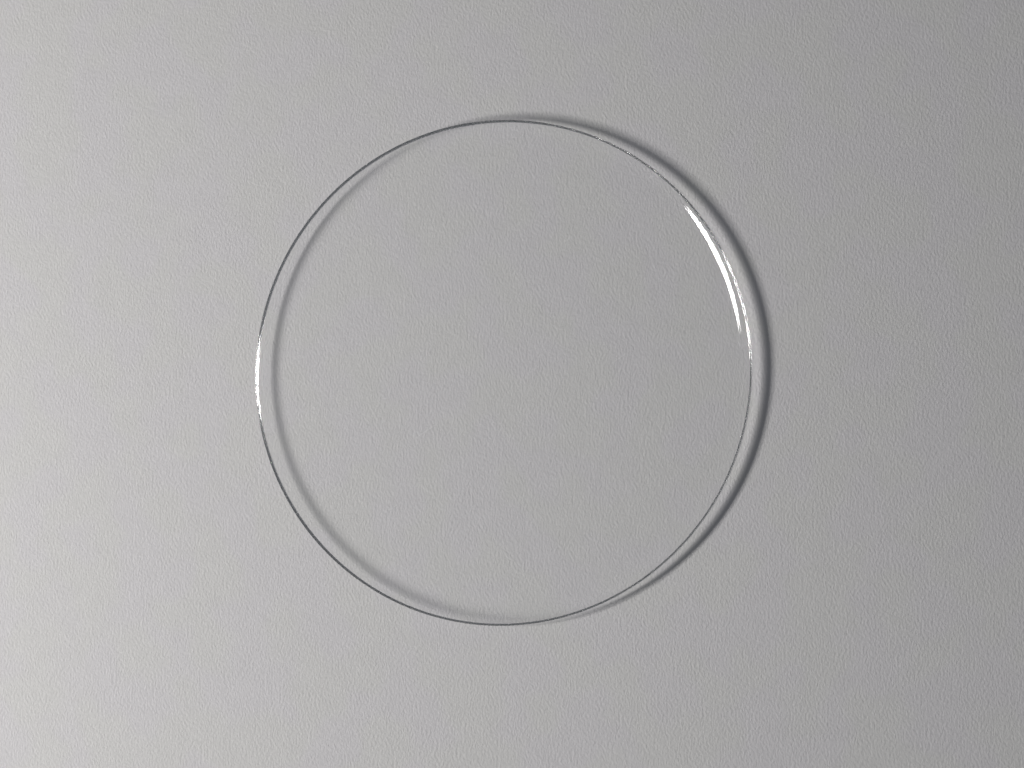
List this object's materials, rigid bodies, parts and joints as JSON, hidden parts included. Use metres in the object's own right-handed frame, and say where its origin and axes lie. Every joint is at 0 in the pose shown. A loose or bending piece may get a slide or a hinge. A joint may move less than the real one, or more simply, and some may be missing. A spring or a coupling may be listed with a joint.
{
  "type": "watch crystal",
  "caption": "Round clear glass watch crystal with a flat middle and a low turned-up border that ends in a ground cylindrical edge, which seats in a bezel.",
  "frame": {"origin": "centre of the flat front face, which the crystal lies on", "axes": "+Z along the crystal's own axis, out of its hollow side, as it lies in the picture"},
  "size_m": [0.044, 0.044, 0.0012],
  "materials": {
    "mineral_glass": "polished clear mineral glass, edge ground and polished"
  },
  "bodies": {
    "root": {"crystal": "mineral_glass"}
  },
  "joints": []
}
